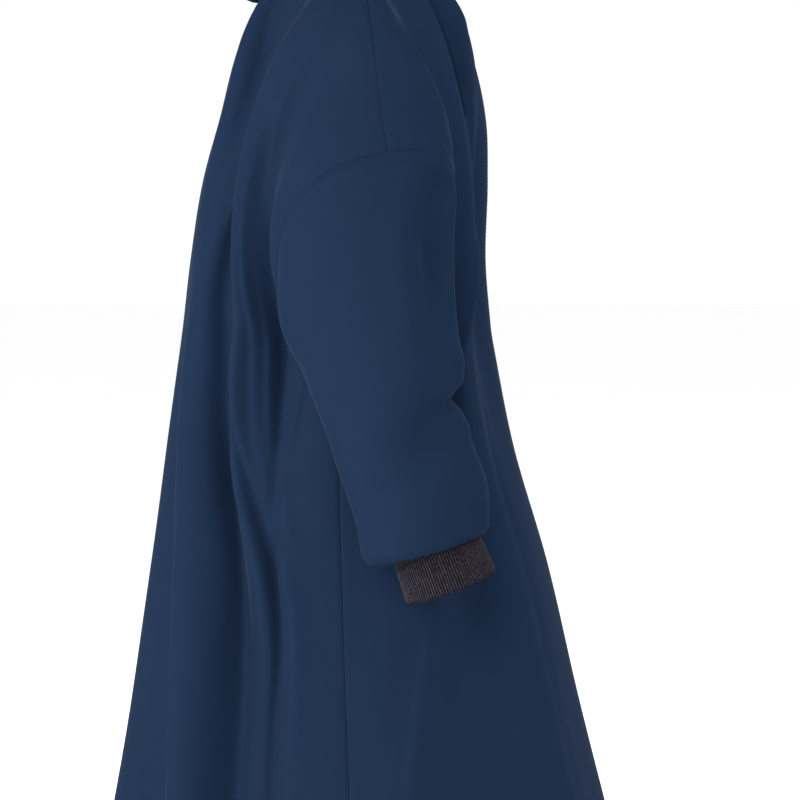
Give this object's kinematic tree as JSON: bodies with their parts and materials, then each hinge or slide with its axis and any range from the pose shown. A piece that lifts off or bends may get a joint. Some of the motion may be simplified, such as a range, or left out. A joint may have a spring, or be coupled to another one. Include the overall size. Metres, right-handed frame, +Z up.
{
  "type": "changing robe",
  "caption": "Long loose hooded changing robe with dropped shoulders, wide sleeves on rib-knit cuffs, a flared open hem and a closed front zip, hanging as worn.",
  "frame": {"origin": "middle of the neck at the height of the shoulder seams' inner ends, where the wearer's shoulders and neck carry the robe", "axes": "+Z up along the standing wearer; the front of the robe faces -Y; the wearer's left is +X"},
  "size_m": [0.8143, 0.6164, 1.2229],
  "materials": {
    "navy_cloth": "matt",
    "charcoal_knit": "rib-knit",
    "zip_tape": "matt",
    "slider_metal": "satin"
  },
  "bodies": {
    "garment": {"back": "navy_cloth", "front_right": "navy_cloth", "front_left": "navy_cloth", "sleeve_right": "navy_cloth", "sleeve_left": "navy_cloth", "hood_right": "navy_cloth", "hood_left": "navy_cloth", "cuff_right": "charcoal_knit", "cuff_left": "charcoal_knit", "zip": "zip_tape", "zip_slider": "slider_metal"},
    "pull": {"zip_pull": "slider_metal"}
  },
  "joints": [
    {"name": "pull_swing", "type": "hinge", "parent": "garment", "child": "pull", "pos_m": [0, -0.09405, -0.00313], "axis": [-1, 0, 0], "range_deg": [0, 120]}
  ]
}
